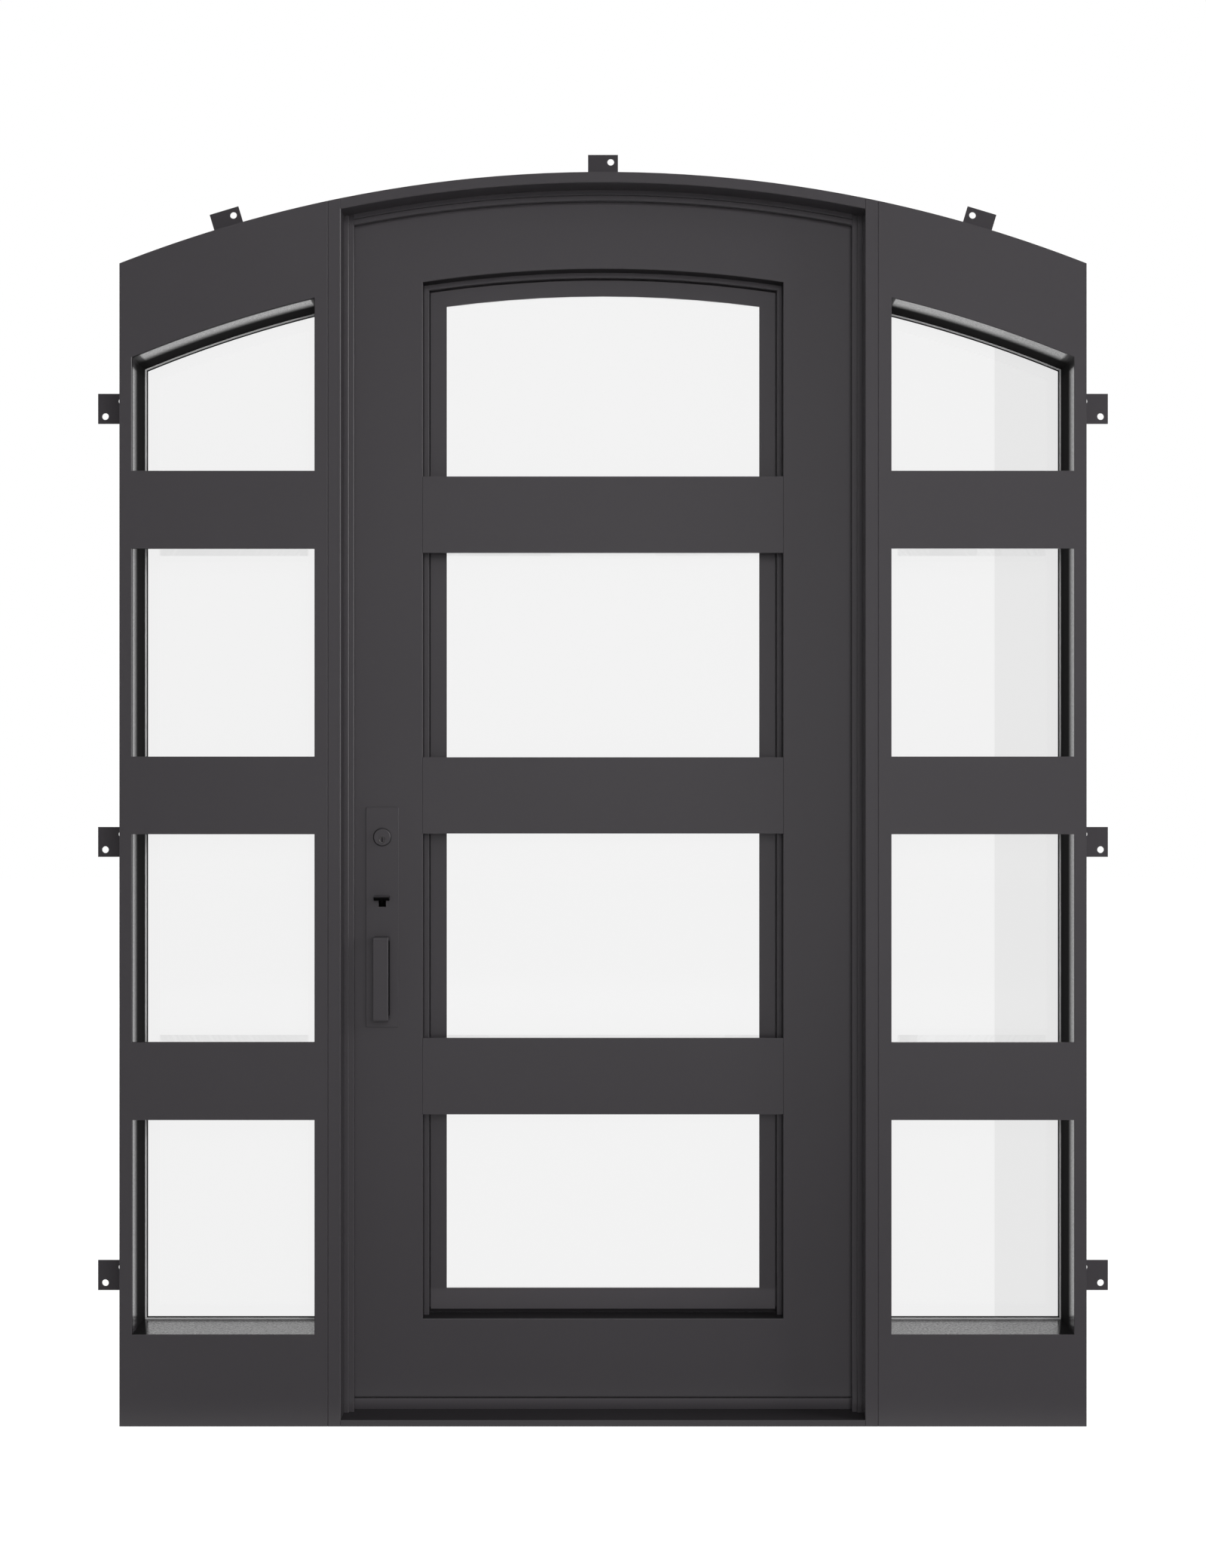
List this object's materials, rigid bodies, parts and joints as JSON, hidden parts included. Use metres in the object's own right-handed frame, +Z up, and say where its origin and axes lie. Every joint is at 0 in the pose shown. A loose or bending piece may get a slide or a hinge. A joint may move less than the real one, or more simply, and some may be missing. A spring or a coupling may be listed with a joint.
{
  "type": "door with sidelights",
  "caption": "Arched steel entry door with one glazed leaf between two fixed glazed sidelights, crossbars, lock set and wall straps.",
  "frame": {"origin": "bottom centre of the frame at floor level, at half the depth of the frame", "axes": "+X to the right seen from outside, +Y inwards through the wall, +Z up"},
  "size_m": [2.026, 0.1974, 2.5114],
  "materials": {
    "frame_paint": "satin charcoal paint on steel",
    "leaf_paint": "satin charcoal paint on steel",
    "glass": "pale milky glass",
    "lock_black": "satin black",
    "cylinder_metal": "black with a bright key plug",
    "hinge_metal": "satin charcoal paint on steel"
  },
  "bodies": {
    "frame": {"left_jamb": "frame_paint", "left_stop": "frame_paint", "left_outer_stile": "frame_paint", "left_inner_stile": "frame_paint", "left_bottom_rail": "frame_paint", "left_top_rail": "frame_paint", "left_crossbars": "frame_paint", "left_glass_stop": "frame_paint", "left_glass": "glass", "left_inner_bead": "frame_paint", "left_inner_crossbars": "frame_paint", "left_straps": "frame_paint", "right_jamb": "frame_paint", "right_stop": "frame_paint", "right_outer_stile": "frame_paint", "right_inner_stile": "frame_paint", "right_bottom_rail": "frame_paint", "right_top_rail": "frame_paint", "right_crossbars": "frame_paint", "right_glass_stop": "frame_paint", "right_glass": "glass", "right_inner_bead": "frame_paint", "right_inner_crossbars": "frame_paint", "right_straps": "frame_paint", "head_jamb": "frame_paint", "head_stop": "frame_paint", "sill_plate": "frame_paint", "threshold": "frame_paint", "arch_straps": "frame_paint", "frame_hinges": "hinge_metal"},
    "door_leaf": {"lock_stile": "leaf_paint", "hinge_stile": "leaf_paint", "leaf_top_rail": "leaf_paint", "leaf_bottom_rail": "leaf_paint", "leaf_crossbars": "leaf_paint", "light_stop": "leaf_paint", "light_frame": "leaf_paint", "door_glass": "glass", "leaf_inner_crossbars": "leaf_paint", "lock_plate": "lock_black", "inner_lock_plate": "lock_black", "lock_cylinder": "cylinder_metal", "pull_handle": "lock_black", "inner_pull": "lock_black", "turn_rose": "lock_black", "thumb_turn": "lock_black", "leaf_hinges": "hinge_metal"},
    "thumb_latch": {"thumb_latch": "lock_black"}
  },
  "joints": [
    {"name": "door_swing", "type": "hinge", "parent": "frame", "child": "door_leaf", "pos_m": [0.5075, 0.0852, 1.2], "axis": [0, 0, -1], "range_deg": [0, 110]},
    {"name": "latch_press", "type": "hinge", "parent": "door_leaf", "child": "thumb_latch", "pos_m": [-0.4364, 0.0202, 1.0175], "axis": [1, 0, 0], "range_deg": [0, 12], "stiffness_Nm_per_rad": 0.3, "springref_deg": -11.46}
  ]
}
